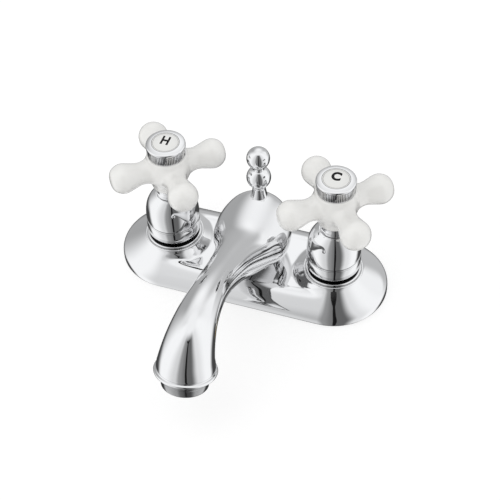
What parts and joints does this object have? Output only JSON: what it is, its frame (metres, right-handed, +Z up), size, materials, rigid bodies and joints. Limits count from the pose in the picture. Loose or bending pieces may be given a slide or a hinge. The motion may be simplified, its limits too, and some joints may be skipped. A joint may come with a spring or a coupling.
{
  "type": "basin faucet",
  "caption": "Centreset basin faucet with an arched spout, porcelain cross handles over bell escutcheons, a lift knob and threaded supply shanks.",
  "frame": {"origin": "on the deck plane, midway between the two handle axes", "axes": "+Z up out of the deck, +X towards the cold handle (right hand, seen from the user's side), -Y towards the user, where the spout reaches"},
  "size_m": [0.1676, 0.1623, 0.1653],
  "materials": {
    "chrome": "mirror polished chrome plate over cast metal",
    "porcelain": "warm white glossy glaze",
    "index_white": null,
    "brass": "turned and cast, unplated",
    "copper_tube": "drawn tube, soldered ends",
    "seal_rubber": "black moulded rubber",
    "gasket_rubber": "dark grey sheet rubber",
    "screw_steel": "stainless steel",
    "white_plastic": "moulded acetal",
    "grey_plastic": "moulded acetal",
    "disc_ceramic": "lapped alumina"
  },
  "bodies": {
    "faucet_body": {"base_cover": "chrome", "base_gasket": "gasket_rubber", "spout": "chrome", "spout_seal": "seal_rubber", "spout_screws": "screw_steel", "rod_guide": "white_plastic", "aerator_housing": "chrome", "aerator_screen": "screw_steel", "aerator_flow_disc": "grey_plastic", "aerator_washer": "seal_rubber", "mixing_block": "brass", "hot_crossover_tube": "copper_tube", "hot_valve_body": "brass", "hot_mounting_nut": "white_plastic", "hot_mounting_washer": "gasket_rubber", "hot_bell": "chrome", "hot_cartridge_shell": "brass", "hot_seat_seal": "seal_rubber", "hot_fixed_disc": "disc_ceramic", "cold_crossover_tube": "copper_tube", "cold_valve_body": "brass", "cold_mounting_nut": "white_plastic", "cold_mounting_washer": "gasket_rubber", "cold_bell": "chrome", "cold_cartridge_shell": "brass", "cold_seat_seal": "seal_rubber", "cold_fixed_disc": "disc_ceramic"},
    "hot_handle_assembly": {"hot_moving_disc": "disc_ceramic", "hot_stem": "brass", "hot_stem_oring": "seal_rubber", "hot_stem_clip": "screw_steel", "hot_handle": "porcelain", "hot_handle_hub": "chrome", "hot_handle_screw": "screw_steel", "hot_button": "chrome", "hot_index": "index_white"},
    "cold_handle_assembly": {"cold_moving_disc": "disc_ceramic", "cold_stem": "brass", "cold_stem_oring": "seal_rubber", "cold_stem_clip": "screw_steel", "cold_handle": "porcelain", "cold_handle_hub": "chrome", "cold_handle_screw": "screw_steel", "cold_button": "chrome", "cold_index": "index_white"},
    "lift_assembly": {"lift_rod": "chrome", "lift_knob": "chrome"}
  },
  "joints": [
    {"name": "hot_handle_turn", "type": "hinge", "parent": "faucet_body", "child": "hot_handle_assembly", "pos_m": [-0.0508, 0, 0.07], "axis": [0, 0, 1], "range_deg": [0, 90]},
    {"name": "cold_handle_turn", "type": "hinge", "parent": "faucet_body", "child": "cold_handle_assembly", "pos_m": [0.0508, 0, 0.07], "axis": [0, 0, 1], "range_deg": [-90, 0]},
    {"name": "lift_rod_slide", "type": "slide", "parent": "faucet_body", "child": "lift_assembly", "axis": [0, 0, 1], "range_m": [0, 0.025]}
  ]
}
